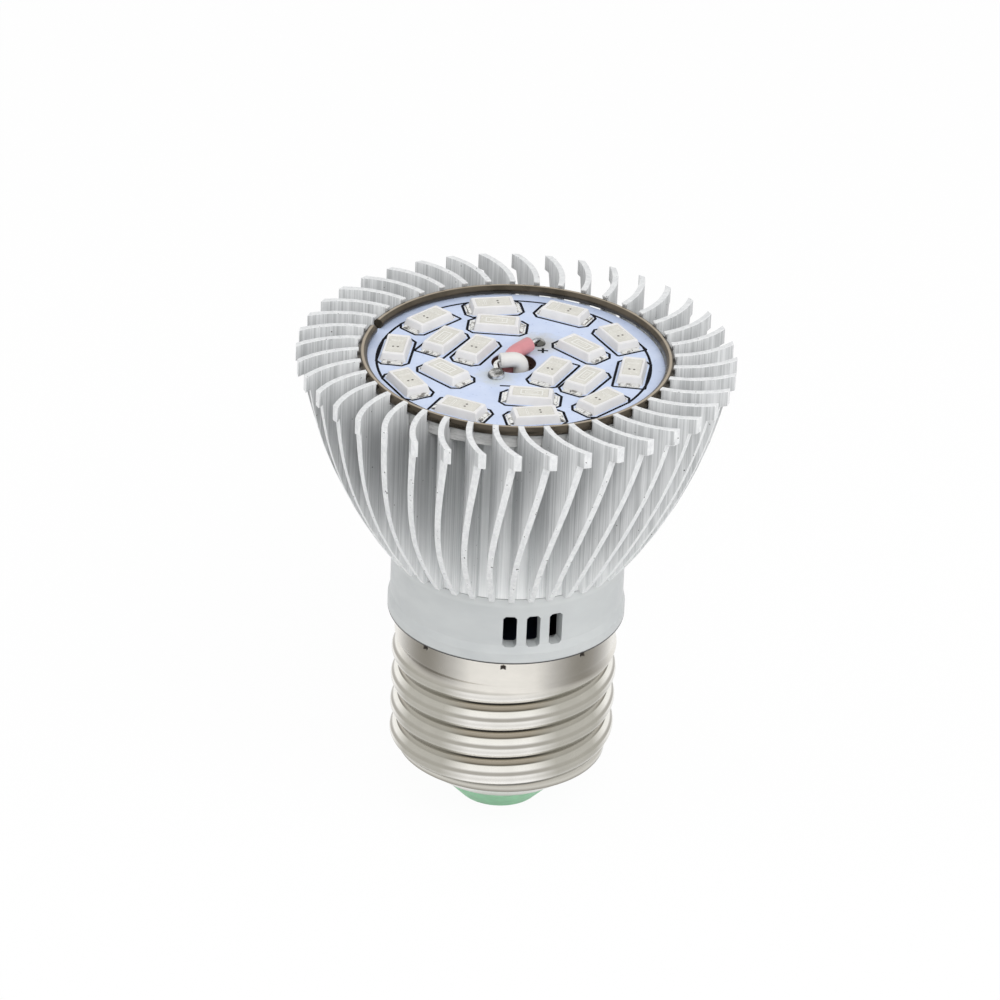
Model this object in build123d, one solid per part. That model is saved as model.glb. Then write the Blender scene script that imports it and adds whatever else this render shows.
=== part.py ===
from build123d import *
import os
from math import cos, pi, radians, sin

# A grow light bulb: an edison screw cap, a plastic neck with vents, a turned heat sink with swept
# fins, and a round board of light emitting diodes held in the mouth of the heat sink by a ring.
# Millimetres. The axis is Z, the cap points down and Z is 0 at the underside of the centre contact.

# Screw cap
contact_radius = 3.7
contact_proud = 0.5
contact_edge_bevel = 0.2
stem_radius = 1.6
stem_gap = 0.02
stem_above_plug = 0.6
insulator_bottom_radius = 4.8
insulator_cone_height = 3.8
insulator_plug_height = 1.8
shell_mouth_radius = 8.7
shell_cone_height = 2.2
shell_shoulder_radius = 11.5
shell_shoulder_height = 0.5
shell_wall = 0.3
thread_crest_radius = 13.1
thread_depth = 0.9
thread_pitch = 3.629
thread_turns = 4.1
thread_steps = 6
thread_sections = 24
thread_fade = 1.5
flat_volume = 0.00001
front_crest_height = 13.0
collar_radius = 12.85
collar_height = 3.12

# Neck
neck_height = 8.3
neck_body_radius = 13.5
neck_lip_reach = 0.25
neck_lip_height = 1.3
neck_flare_height = 1.0
neck_wall = 1.5
spigot_length = 10.5
spigot_wall = 1.3
spigot_gap = 0.05
vent_count = 3
vent_pitch_angle = 11.45
vent_middle_angle = -76.1
vent_width = 1.6
vent_height = 3.95
vent_above_seam = 4.1
vent_corner = 0.3
notch_width = 2.2
notch_gap = 3.4

# Heat sink
fin_count = 40
fin_thickness = 0.68
fin_root_angle = 2.5
fin_sweep_reach = 8.1
fin_sweep_angle = 56.0
fin_bend_steps = 3
fin_flat_angles = (0.0, 5.0, 10.0)
core_step = 0.1
core_wall = 2.2
web_thickness = 3.0
wire_hole_radius = 3.0
heat_sink_height = 24.7
rim_radius = 25.0
rim_height = 1.9
rim_step = 0.75
bowl_foot_reach = 0.8
bowl_bulge = 1.46
bowl_steps = 4
mouth_lip_radius = 17.9

# Board and ring
board_radius = 17.2
board_thickness = 1.6
board_hole_radius = 2.55
board_shift = -0.3
board_side_gap = 0.1
board_depth = 1.45
pad_thickness = 0.15
pad_outer_radius = 13.0
ring_wire_radius = 0.57
ring_wire_sides = 6
bend_chords = 4
ring_chords = 48
ring_inner_radius = 16.9
ring_groove_gap = 0.05
ring_gap_angle = 158.5
ring_gap_width = 5.0

# Light emitting diodes
led_length = 5.3
led_width = 3.0
led_height = 0.95
led_draft = 14.0
led_foot_gap = 0.02
window_length = 4.1
window_width = 2.1
window_depth = 0.35
window_sink = 0.03
led_lead_reach = 0.25
led_lead_width = 2.2
led_lead_thickness = 0.25
outer_led_count = 10
outer_led_radius = 13.5
outer_led_angle = 29.4
inner_led_places = [(-2.05, 8.7, -3.5), (-8.1, 4.1, 62.0), (-4.35, 2.3, 64.5), (-7.6, -3.65, -43.5)]

# Leads from the driver to the board: places in plan, and heights above the board
sleeve_radius = 0.9
strand_radius = 0.28
wire_sides = 6
sleeve_bore_gap = 0.1
lead_bend_radius = 1.1
strand_bend_radius = 0.5
strand_reach = 0.8
lead_strip = 1.3
positive_lead_x = -0.75
positive_lead_y = 0.45
positive_elbow_height = 0.75
positive_tip = (1.4, 2.85)
positive_tip_height = 1.0
positive_joint = (2.4, 5.0)
negative_foot_y = -2.2
negative_riser = (0.55, -0.95)
negative_elbow_height = 1.0
negative_tip = (-1.88, -1.55)
negative_tip_height = 1.0
negative_joint = (-2.2, -3.5)
joint_radius = 0.95
joint_height = 0.9
joint_sides = 8
joint_draft = 30.0

# Screws that hold the neck to the web of the heat sink
screw_spacing = 16.8
screw_radius = 1.35
screw_head_radius = 2.6
screw_head_height = 1.5
screw_sides = 12
screw_length = 9.0
screw_hole_gap = 0.3
screw_thread_gap = 0.02
post_radius = 2.4

# Driver board and what it carries: places are across the board and down from its top
driver_width = 16.4
driver_height = 32.0
driver_thickness = 1.2
driver_top_gap = 4.8
slot_gap = 0.1
rib_thickness = 1.2
rib_grip = 0.6
part_gap = 0.1
input_can_radius = 4.0
input_can_length = 11.0
input_can_place = (3.6, 31.5)
output_can_radius = 2.2
output_can_length = 9.0
output_can_place = (-5.7, 6.5)
core_size = (4.1, 10.4, 9.6)
core_leg = 2.6
core_place = (0.0, 17.0)
winding_reach = 1.2
film_size = (3.2, 5.6, 5.6)
film_place = (4.6, 5.8)
bridge_size = (2.3, 4.7, 4.0)
bridge_place = (0.0, 28.0)
chip_size = (1.6, 5.0, 4.0)
chip_place = (0.0, 21.0)
resistor_size = (0.6, 3.2, 1.6)
resistor_count = 5
resistor_pitch = 2.4
resistor_place = (0.0, 14.5)
fuse_radius = 1.2
fuse_length = 6.0
fuse_place = (-3.0, 18.7)
cap_wire_radius = 0.5
cap_wire_bend = 1.5
contact_wire_y = 1.5
contact_wire_rise = 1.5
shell_wire_y = -4.0
shell_wire_drop = 2.4
shell_wire_rise = 4.0

# Heights and radii that follow from the sizes above
shell_bottom = contact_proud + insulator_cone_height
plug_top = shell_bottom + insulator_plug_height
stem_top = plug_top + stem_above_plug
shoulder_z = shell_bottom + shell_cone_height
thread_bottom = shoulder_z + shell_shoulder_height
thread_top = thread_bottom + thread_turns * thread_pitch
seam_z = thread_top + collar_height
neck_top = seam_z + neck_height
heat_sink_top = neck_top + heat_sink_height
board_top = heat_sink_top - board_depth
board_bottom = board_top - board_thickness
pocket_floor = board_bottom - pad_thickness
pocket_radius = board_radius + abs(board_shift) + board_side_gap
web_bottom = pocket_floor - web_thickness
ring_radius = ring_inner_radius + ring_wire_radius
ring_z = board_top + ring_wire_radius * cos(pi / ring_wire_sides)
thread_root_radius = thread_crest_radius - thread_depth
shell_bore = thread_root_radius - shell_wall
flat_share = cos(pi / thread_sections)
spigot_radius = shell_bore * flat_share - spigot_gap
spigot_bore = spigot_radius - spigot_wall
spigot_bottom = seam_z - spigot_length
neck_lip_radius = neck_body_radius + neck_lip_reach
core_radius = neck_body_radius - core_step
core_bore_radius = core_radius - core_wall
bowl_foot_radius = core_radius + bowl_foot_reach
fin_straight_end = rim_radius - fin_sweep_reach
post_x = screw_spacing / 2
screw_seat = pocket_floor - screw_head_height
driver_front = positive_lead_x - sleeve_radius - part_gap
driver_back = driver_front - driver_thickness
driver_top = web_bottom - driver_top_gap
driver_foot = driver_top - driver_height


def turned(points):
    """Solid of revolution of an outline given as (radius, height) points."""
    outline = Polyline(*points, close=True)
    return revolve(Plane.XZ * make_face(outline), Axis.Z)


def block(size, centre):
    """Box of a given size about a centre."""
    return Pos(*centre) * Box(*size)


def upright(radius, bottom, top, x=0, y=0):
    """Upright cylinder between two heights."""
    return Pos(x, y, bottom) * Cylinder(radius, top - bottom, align=(Align.CENTER, Align.CENTER, Align.MIN))


def prism(radius, sides, bottom, top, x=0):
    """Upright prism between two heights, for round forms that stay out of sight."""
    return extrude(Pos(x, 0, bottom) * RegularPolygon(radius, sides), top - bottom)


def around(shape, count, start=0.0):
    """Copies of a shape turned about Z at an even pitch."""
    return [Rot(0, 0, start + i * 360 / count) * shape for i in range(count)]


def save(name, *shapes):
    """Write one sub-part, a single solid or a group of separate solids."""
    solids = [solid for shape in shapes for solid in shape.solids()]
    export_step(solids[0] if len(solids) == 1 else Compound(children=solids), f"parts/{name}.step")


def centre_contact():
    """Flat metal disc with a stem that passes through the insulator."""
    disc = upright(contact_radius, 0, contact_proud)
    disc = chamfer(disc.edges().sort_by(Axis.Z)[0], contact_edge_bevel)
    return disc + upright(stem_radius, contact_proud, stem_top)


def cap_insulator():
    """Cone of insulation that closes the shell and carries the contact."""
    hole = stem_radius + stem_gap
    lip_inside = (shell_mouth_radius - shell_wall) * flat_share
    return turned([
        (hole, contact_proud),
        (insulator_bottom_radius, contact_proud),
        (lip_inside, shell_bottom),
        (insulator_bottom_radius, shell_bottom),
        (insulator_bottom_radius, plug_top),
        (hole, plug_top),
    ])


def wave_radius(angle, z):
    """Outer radius of the rolled thread at an angle and height, easing out at both ends."""
    phase = (z - thread_bottom - front_crest_height) / thread_pitch - (angle + 90) / 360
    middle = thread_crest_radius - thread_depth / 2
    wave = middle + thread_depth / 2 * cos(2 * pi * phase)
    base = thread_root_radius if z < (thread_top + thread_bottom) / 2 else collar_radius
    reach = min((thread_top - z) / thread_fade, (z - thread_bottom) / thread_fade, 1)
    return base + (wave - base) * reach * reach * (3 - 2 * reach)


def shell_section(angle):
    """Points of the shell at one angle: cone, thread and collar, then back down the smooth inside."""
    steps = round(thread_turns * thread_steps)
    heights = [thread_bottom + (thread_top - thread_bottom) * i / steps for i in range(steps + 1)]
    outline = [
        (shell_mouth_radius - shell_wall, shell_bottom),
        (shell_mouth_radius, shell_bottom),
        (shell_shoulder_radius, shoulder_z),
        *[(wave_radius(angle, z), z) for z in heights],
        (collar_radius, seam_z),
        (collar_radius - shell_wall, seam_z),
        (collar_radius - shell_wall, thread_top + shell_wall),
        (shell_bore, thread_top + shell_wall),
        (shell_bore, thread_bottom),
        (shell_shoulder_radius - shell_wall, shoulder_z + shell_wall),
        (shell_mouth_radius - shell_wall, shell_bottom + shell_wall),
    ]
    across = cos(radians(angle))
    along = sin(radians(angle))
    return [Vector(r * across, r * along, z) for r, z in outline]


def facets(left, right):
    """Faces from one section to the next: one flat face, or two where the thread climbs."""
    faces = []
    for i in range(len(left)):
        a, b, c, d = left[i - 1], left[i], right[i], right[i - 1]
        flat = abs((b - a).cross(d - a).dot(c - a)) < flat_volume
        corners = [(a, b, c, d)] if flat else [(a, b, c), (a, c, d)]
        faces = faces + [Face(Wire.make_polygon(points, close=True)) for points in corners]
    return faces


def screw_shell():
    """Thin rolled shell with a helical thread, closed section by section all the way round."""
    sections = [shell_section(i * 360 / thread_sections) for i in range(thread_sections)]
    sides = []
    for i in range(thread_sections):
        sides = sides + facets(sections[i - 1], sections[i])
    return Solid(Shell(sides))


def neck_outline():
    """Outside and inside of the neck and its spigot, from the top down, as one face."""
    lip_top = seam_z + neck_lip_height
    flare_top = lip_top + neck_flare_height
    inside = neck_body_radius - neck_wall
    upper_spigot = (collar_radius - shell_wall) * flat_share - spigot_gap
    outline = Polyline(
        (neck_body_radius, flare_top),
        (neck_lip_radius, lip_top),
        (neck_lip_radius, seam_z),
        (upper_spigot, seam_z),
        (upper_spigot, thread_top + shell_wall + 2 * spigot_gap),
        (spigot_radius, thread_top + shell_wall + 2 * spigot_gap),
        (spigot_radius, spigot_bottom),
        (spigot_bore, spigot_bottom),
        (spigot_bore, seam_z + spigot_wall),
        (inside, seam_z + spigot_wall),
        (inside, neck_top),
        (neck_body_radius, neck_top),
        close=True,
    )
    return make_face(outline)


def vent_cutter(angle):
    """Upright slot with cut corners, through the wall at one angle."""
    start = (neck_body_radius - 2 * neck_wall, 0, seam_z + vent_above_seam)
    face = Plane(origin=start, x_dir=(0, 1, 0), z_dir=(1, 0, 0))
    slot = Rectangle(vent_width, vent_height)
    slot = chamfer(slot.vertices(), vent_corner)
    return Rot(0, 0, angle) * extrude(face * slot, 3 * neck_wall)


def screw_post(side):
    """Post that rises into the heat sink and takes a screw, tied to the wall by a rib."""
    wall_end = neck_body_radius - neck_wall + part_gap
    post_bottom = seam_z + spigot_wall + part_gap
    rib_top = neck_top - part_gap
    rib = block(
        (wall_end - post_x, rib_thickness, rib_top - post_bottom),
        (side * (post_x + wall_end) / 2, 0, (post_bottom + rib_top) / 2),
    )
    return prism(post_radius, screw_sides, post_bottom, web_bottom, side * post_x) + rib


def board_rib(side, x):
    """Short rib on the inside of the spigot that the driver board slides against."""
    inner = driver_width / 2 - rib_grip
    height = seam_z - spigot_wall - spigot_bottom
    size = (rib_thickness, spigot_radius - inner, height)
    rib = block(size, (x, side * (inner + spigot_radius) / 2, spigot_bottom + height / 2))
    return rib & upright(spigot_bore + part_gap, spigot_bottom, seam_z)


def neck():
    """Moulded neck: outer wall with vents, spigot for the cap, two posts and the board's ribs."""
    body = revolve(Plane.XZ * neck_outline(), Axis.Z)
    offsets = [vent_pitch_angle * (i - (vent_count - 1) / 2) for i in range(vent_count)]
    for group in (0, 180):
        for offset in offsets:
            body = body - vent_cutter(vent_middle_angle + group + offset)
    reach = slot_gap + rib_thickness / 2
    for side in (-1, 1):
        for x in (driver_front + reach, driver_back - reach):
            body = body + board_rib(side, x)
        body = body + screw_post(side)
    for side in (-1, 1):
        bore_bottom = pocket_floor - screw_length - screw_radius
        bore_radius = screw_radius + screw_thread_gap
        body = body - prism(bore_radius, screw_sides, bore_bottom, web_bottom, side * post_x)
    notch_top = driver_foot - shell_wire_drop + shell_wire_rise + notch_gap
    notch = block(
        (notch_width, notch_width, notch_top - spigot_bottom),
        (-spigot_radius, 0, (spigot_bottom + notch_top) / 2),
    )
    return body - notch


def fin_plan():
    """Plan of one fin: straight out from the core, then swept round in short steps on an arc."""
    sweep = radians(fin_sweep_angle)
    bend_radius = (fin_sweep_reach + fin_thickness) / sin(sweep)
    path = [(core_radius - fin_thickness, 0)]
    for i in range(fin_bend_steps + 1):
        turn = sweep * i / fin_bend_steps
        path.append((fin_straight_end + bend_radius * sin(turn), bend_radius * (1 - cos(turn))))
    return trace(Polyline(*path), fin_thickness)


def bowl():
    """Outline of the turned outside, from the axis out: rim band, step and the bowl below it."""
    rim_bottom = heat_sink_top - rim_height
    side = SagittaArc((rim_radius - rim_step, rim_bottom), (bowl_foot_radius, neck_top), bowl_bulge)
    cuts = [side @ (i / bowl_steps) for i in range(bowl_steps + 1)]
    return Polyline(
        (0, heat_sink_top),
        (rim_radius, heat_sink_top),
        (rim_radius, rim_bottom),
        *[(cut.X, cut.Y) for cut in cuts],
        (0, neck_top),
        close=True,
    )


def mouth():
    """Outline of the room turned out of the top for the board, with the groove for the ring."""
    groove_radius = ring_radius + ring_wire_radius + ring_groove_gap
    groove_reach = ring_wire_radius + ring_groove_gap
    above = heat_sink_top + rim_height
    return Polyline(
        (0, pocket_floor),
        (pocket_radius, pocket_floor),
        (pocket_radius, ring_z - groove_reach),
        (groove_radius, ring_z - groove_reach),
        (groove_radius, ring_z + groove_reach),
        (mouth_lip_radius, ring_z + groove_reach),
        (mouth_lip_radius, above),
        (0, above),
        close=True,
    )


def flat_cut(outline, angle=0.0):
    """Upright profile drawn out sideways at one angle, which gives a narrow fin the turned form."""
    return Rot(0, 0, angle) * extrude(Plane.XZ * make_face(outline), rim_radius, both=True)


def fin():
    """One swept fin with its turned outer and inner ends."""
    blade = Pos(0, 0, neck_top) * extrude(fin_plan(), heat_sink_height)
    for angle in fin_flat_angles:
        blade = blade & flat_cut(bowl(), angle)
    return blade - flat_cut(mouth())


def heat_sink():
    """Turned from one extrusion: a core bored for the driver, with swept fins all round it."""
    core = prism(core_radius, fin_count, neck_top, pocket_floor)
    core = core - prism(core_bore_radius, fin_count, neck_top, web_bottom)
    core = core - prism(wire_hole_radius, screw_sides, web_bottom, pocket_floor)
    for x in (-post_x, post_x):
        core = core - prism(screw_radius + screw_hole_gap, screw_sides, web_bottom, pocket_floor, x)
        core = core - prism(screw_head_radius + screw_hole_gap, screw_sides, screw_seat, pocket_floor, x)
    return core + around(fin(), fin_count, fin_root_angle)


def neck_screw(x):
    """Self-tapping screw with a flat head that sits in the web."""
    head = prism(screw_head_radius, screw_sides, screw_seat, pocket_floor - part_gap, x)
    return head + prism(screw_radius, screw_sides, pocket_floor - screw_length, screw_seat, x)


def retaining_ring():
    """Open ring of round spring wire that presses on the rim of the board."""
    turn = (360 - ring_gap_width) / ring_chords
    points = [Vector(ring_radius, 0, ring_z).rotate(Axis.Z, i * turn) for i in range(ring_chords + 1)]
    section = Plane(origin=points[0], x_dir=(1, 0, 0), z_dir=(0, 1, 0)) * RegularPolygon(
        ring_wire_radius, ring_wire_sides
    )
    ring = sweep(section, path=Polyline(*points), transition=Transition.RIGHT)
    return Rot(0, 0, ring_gap_angle + ring_gap_width / 2) * ring


def led_board():
    """Round aluminium board with a hole for the leads."""
    disc = upright(board_radius, board_bottom, board_top, board_shift)
    return disc - upright(board_hole_radius, board_bottom, board_top, board_shift)


def thermal_pad():
    """Thin pad between the board and the web, open over the leads."""
    pad = prism(pad_outer_radius, fin_count, pocket_floor, board_bottom)
    return pad - prism(wire_hole_radius, screw_sides, pocket_floor, board_bottom)


def led_places():
    """Place and turn of each diode: a ring of them, and two mirrored groups inside it."""
    ring = []
    for i in range(outer_led_count):
        angle = outer_led_angle + i * 360 / outer_led_count
        x = outer_led_radius * cos(radians(angle)) + board_shift
        ring.append(Pos(x, outer_led_radius * sin(radians(angle)), board_top) * Rot(0, 0, angle + 90))
    inner = []
    for x, y, turn in inner_led_places:
        inner.append(Pos(x + board_shift, y, board_top) * Rot(0, 0, turn))
        inner.append(Pos(board_shift - x, -y, board_top) * Rot(0, 0, turn + 180))
    return ring + inner


def led_well():
    """Outline of the shallow well in the top of a package."""
    return Rectangle(window_length, window_width)


def led_body():
    """Moulded package with sloped sides and a well for the window."""
    foot = Pos(0, 0, led_foot_gap) * Rectangle(led_length, led_width)
    package = extrude(foot, led_height - led_foot_gap, taper=led_draft)
    return package - extrude(Pos(0, 0, led_height) * led_well(), -window_depth)


def led_window():
    """Clear filling of the well."""
    return extrude(Pos(0, 0, led_height - window_depth) * led_well(), window_depth - window_sink)


def led_lead(side):
    """Metal lead at one end of a package."""
    x = side * (led_length + led_lead_reach) / 2
    return block((led_lead_reach, led_lead_width, led_lead_thickness), (x, 0, led_lead_thickness / 2))


def tube_on(points, bends, radius, bore=0.0):
    """Wire or sleeve along straight runs joined by tangent arcs, each arc drawn in short chords."""
    smooth = FilletPolyline(*points, radius=bends)
    route = [smooth @ 0]
    for run in smooth.edges():
        chords = 1 if run.geom_type == GeomType.LINE else bend_chords
        route = route + [run @ ((i + 1) / chords) for i in range(chords)]
    path = Polyline(*route)
    start = Plane(origin=path @ 0, z_dir=path % 0)
    tube = sweep(start * RegularPolygon(radius, wire_sides), path=path, transition=Transition.RIGHT)
    if bore:
        inside = start * RegularPolygon(bore, wire_sides)
        tube = tube - sweep(inside, path=path, transition=Transition.RIGHT)
    return tube


def lead_foot(y):
    """Place in plan where a lead leaves the driver board."""
    return (driver_front + sleeve_radius + part_gap, y)


def sleeve(route):
    """Insulation of a lead, open at both ends round its strand."""
    bends = [lead_bend_radius] * (len(route) - 2)
    return tube_on(route, bends, sleeve_radius, strand_radius + sleeve_bore_gap)


def strand(route, joint):
    """Bare strand of a lead: out of the driver board, up the sleeve and down into its joint."""
    foot = Vector(*route[0]) - Vector(0, 0, lead_strip)
    out = Vector(*route[-1]) + (Vector(*route[-1]) - Vector(*route[-2])).normalized() * strand_reach
    end = Vector(*joint, board_top + joint_height + strand_radius)
    points = [Vector(driver_front, foot.Y, foot.Z), foot, *route[1:-1], out, end]
    bends = [lead_bend_radius] * (len(points) - 2)
    bends[0] = strand_bend_radius
    bends[-1] = strand_bend_radius
    return tube_on(points, bends, strand_radius)


def positive_route():
    """Straight up through the holes, then over towards its joint."""
    foot = lead_foot(positive_lead_y)
    return [
        (*foot, driver_top),
        (*foot, board_top + positive_elbow_height),
        (*positive_tip, board_top + positive_tip_height),
    ]


def negative_route():
    """Up beside the other lead, leaning over to the far side of the hole, then across the board."""
    foot = lead_foot(negative_foot_y)
    return [
        (*foot, driver_top),
        (*foot, (driver_top + web_bottom) / 2),
        (*negative_riser, board_bottom - lead_strip),
        (*negative_riser, board_top + negative_elbow_height),
        (*negative_tip, board_top + negative_tip_height),
    ]


def solder_joint(place):
    """Drop of solder on the board, under the end of a strand."""
    foot = Pos(*place, board_top) * RegularPolygon(joint_radius, joint_sides)
    return extrude(foot, joint_height, taper=joint_draft)


def on_front(size, place, lift=0.0):
    """Box on the front of the driver board at its place, lifted off the board."""
    x = driver_front + lift + size[0] / 2
    return block(size, (x, place[0], driver_top - place[1] + size[2] / 2))


def on_back(size, place):
    """Box that stands on the back of the driver board."""
    x = driver_back - size[0] / 2
    return block(size, (x, place[0], driver_top - place[1] + size[2] / 2))


def driver_board():
    """Upright board that slides into the ribs of the neck."""
    size = (driver_thickness, driver_width, driver_height)
    return block(size, (driver_front - driver_thickness / 2, 0, driver_foot + driver_height / 2))


def can(radius, length, place):
    """Upright can capacitor beside the driver board."""
    bottom = driver_top - place[1]
    return upright(radius, bottom, bottom + length, driver_front + radius, place[0])


def fuse_resistor():
    """Small round resistor that lies across the driver board."""
    place = (driver_front + fuse_radius, fuse_place[0], driver_top - fuse_place[1])
    return Pos(*place) * Rot(90, 0, 0) * Cylinder(fuse_radius, fuse_length)


def transformer_core():
    """Pair of ferrite halves that close round the winding, lifted off the board by it."""
    frame = on_front(core_size, core_place, winding_reach)
    window = (2 * core_size[0], core_size[1] / 2 - core_leg, core_size[2] - core_leg)
    across = (core_leg + window[1]) / 2
    for side in (-1, 1):
        place = (core_place[0] + side * across, core_place[1] - core_leg / 2)
        frame = frame - on_front(window, place)
    return frame


def transformer_coil():
    """Taped winding round the middle leg of the core."""
    width = core_size[1] - core_leg - 2 * part_gap
    height = core_size[2] - core_leg - 2 * part_gap
    down = core_place[1] - core_leg / 2 - part_gap
    winding = on_front((core_size[0] + 2 * winding_reach, width, height), (core_place[0], down))
    leg = on_front((core_size[0], core_leg, height), (core_place[0], down), winding_reach)
    return winding - leg


def contact_wire():
    """Wire from the foot of the driver board down to the stem of the contact."""
    x = driver_front - driver_thickness / 2
    points = [
        (0, 0, stem_top),
        (0, 0, stem_top + contact_wire_rise),
        (x, contact_wire_y, driver_foot - contact_wire_rise),
        (x, contact_wire_y, driver_foot),
    ]
    return tube_on(points, cap_wire_bend, cap_wire_radius)


def shell_wire():
    """Wire from the foot of the driver board to the inside of the shell, up through the notch."""
    x = driver_front - driver_thickness / 2
    out = shell_bore * flat_share - cap_wire_radius
    low = driver_foot - shell_wire_drop
    points = [
        (x, shell_wire_y, driver_foot),
        (x, shell_wire_y, low),
        (-out, 0, low),
        (-out, 0, low + shell_wire_rise),
    ]
    return tube_on(points, cap_wire_bend, cap_wire_radius)


def diodes():
    """Write each package in a node of its own, and their windows and leads as two groups."""
    places = led_places()
    body = led_body()
    window = led_window()
    for i, place in enumerate(places):
        save(f"led_{i + 1:02d}", place * body)
    save("led_windows", *[place * window for place in places])
    save("led_terminals", *[place * led_lead(side) for place in places for side in (-1, 1)])


def leads():
    """Write the two leads and their joints on the board."""
    save("positive_sleeve", sleeve(positive_route()))
    save("negative_sleeve", sleeve(negative_route()))
    save("positive_strand", strand(positive_route(), positive_joint))
    save("negative_strand", strand(negative_route(), negative_joint))
    save("board_solder", solder_joint(positive_joint), solder_joint(negative_joint))


def driver():
    """Write the driver board and what it carries."""
    save("driver_board", driver_board())
    save("input_capacitor", can(input_can_radius, input_can_length, input_can_place))
    save("output_capacitor", can(output_can_radius, output_can_length, output_can_place))
    save("transformer_core", transformer_core())
    save("transformer_coil", transformer_coil())
    save("film_capacitor", on_front(film_size, film_place))
    save("fuse_resistor", fuse_resistor())
    save("bridge_rectifier", on_back(bridge_size, bridge_place))
    save("driver_chip", on_back(chip_size, chip_place))
    steps = [i * resistor_pitch for i in range(resistor_count)]
    resistors = [on_back(resistor_size, (resistor_place[0], resistor_place[1] - up)) for up in steps]
    save("chip_resistors", *resistors)
    save("contact_wire", contact_wire())
    save("shell_wire", shell_wire())


os.makedirs("parts", exist_ok=True)
save("centre_contact", centre_contact())
save("cap_insulator", cap_insulator())
save("screw_shell", screw_shell())
save("neck", neck())
save("heat_sink", heat_sink())
save("neck_screws", neck_screw(-post_x), neck_screw(post_x))
save("retaining_ring", retaining_ring())
save("led_board", led_board())
save("thermal_pad", thermal_pad())
diodes()
leads()
driver()
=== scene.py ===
import bpy
import bmesh
from math import cos, pi, radians, sin, sqrt
from mathutils import Matrix, Vector, noise

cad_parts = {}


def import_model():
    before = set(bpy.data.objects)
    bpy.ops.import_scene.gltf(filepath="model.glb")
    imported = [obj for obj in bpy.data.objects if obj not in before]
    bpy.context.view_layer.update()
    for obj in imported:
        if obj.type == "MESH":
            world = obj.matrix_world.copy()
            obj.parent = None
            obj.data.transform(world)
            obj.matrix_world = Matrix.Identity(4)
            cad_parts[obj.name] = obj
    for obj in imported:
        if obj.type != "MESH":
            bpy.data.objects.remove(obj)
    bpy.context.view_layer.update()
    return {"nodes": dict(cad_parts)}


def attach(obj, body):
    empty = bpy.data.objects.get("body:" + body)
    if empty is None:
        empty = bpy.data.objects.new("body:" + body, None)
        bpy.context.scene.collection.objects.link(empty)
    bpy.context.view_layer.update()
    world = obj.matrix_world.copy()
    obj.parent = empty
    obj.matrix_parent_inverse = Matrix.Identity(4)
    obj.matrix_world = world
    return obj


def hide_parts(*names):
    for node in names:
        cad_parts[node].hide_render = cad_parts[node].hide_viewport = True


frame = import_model()
nodes = frame["nodes"]
MM = 0.001
UNITS_PER_METRE = 1000

# Heights and radii of the solids, in millimetres
SINK_TOP = 58.0
SINK_BOTTOM = 33.3
BOARD_DEPTH = 1.45
BOARD_THICKNESS = 1.6
PAD_THICKNESS = 0.15
WEB_THICKNESS = 3.0
BOARD_TOP = SINK_TOP - BOARD_DEPTH
POCKET_FLOOR = BOARD_TOP - BOARD_THICKNESS - PAD_THICKNESS
WEB_BOTTOM = POCKET_FLOOR - WEB_THICKNESS
RING_WIRE = 0.57
RING_INSIDE = 16.9
RING_RADIUS = RING_INSIDE + RING_WIRE
RING_Z = BOARD_TOP + RING_WIRE
GROOVE_PLAY = 0.05
GROOVE_BOTTOM = RING_Z - RING_WIRE - GROOVE_PLAY
GROOVE_TOP = RING_Z + RING_WIRE + GROOVE_PLAY
SEAM = 25.0
NECK_BAND = 32.1
SHELL_FOOT = 4.3
THREAD_TOP = 21.88
THREAD_BOTTOM = 7.0
THREAD_PITCH = 3.629
# How far above the foot of the thread a crest passes the front
CREST_RISE = 13.0
PRICK_HEIGHT = SEAM - 1.05
CRIMPS = 8
# Where the two leads are soldered to the board
POSITIVE_JOINT = (2.4, 5.0)
NEGATIVE_JOINT = (-2.2, -3.5)


# Camera

# Distance and elevation as seen from the rim, then small turns, and the lens
CAMERA_DISTANCE = 635.65
CAMERA_ELEVATION = 0.47595
CAMERA_PAN = 0.001858
CAMERA_TILT = -0.026556
CAMERA_ROLL = -0.04324
FOCAL_PIXELS = 5615.7
PICTURE_PIXELS = 1000
SENSOR_WIDTH = 36


def make_camera():
    """Camera at the photograph's place and angle, looking at the mouth of the heat sink."""
    distance = CAMERA_DISTANCE * MM
    level, rise = cos(CAMERA_ELEVATION), sin(CAMERA_ELEVATION)
    place = Vector((0, 0, SINK_TOP * MM)) + Vector((0, -distance * level, distance * rise))
    ahead = Vector((0, level, -rise))
    right = Vector((1, 0, 0))
    up = right.cross(ahead)
    pan = Matrix.Rotation(CAMERA_PAN, 3, up)
    ahead = pan @ ahead
    right = pan @ right
    tilt = Matrix.Rotation(CAMERA_TILT, 3, right)
    ahead = tilt @ ahead
    up = tilt @ up
    roll = Matrix.Rotation(CAMERA_ROLL, 3, ahead)
    right = roll @ right
    up = roll @ up
    data = bpy.data.cameras.new("camera")
    data.sensor_width = SENSOR_WIDTH
    data.lens = FOCAL_PIXELS * SENSOR_WIDTH / PICTURE_PIXELS
    data.clip_start = 0.01
    data.clip_end = 20
    camera = bpy.data.objects.new("camera", data)
    turn = Matrix((right, up, -ahead)).transposed().to_4x4()
    camera.matrix_world = Matrix.Translation(place) @ turn
    bpy.context.scene.collection.objects.link(camera)
    bpy.context.scene.camera = camera


# Node helpers

MIX_FIRST, MIX_SECOND, MIX_RESULT = 6, 7, 2


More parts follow.
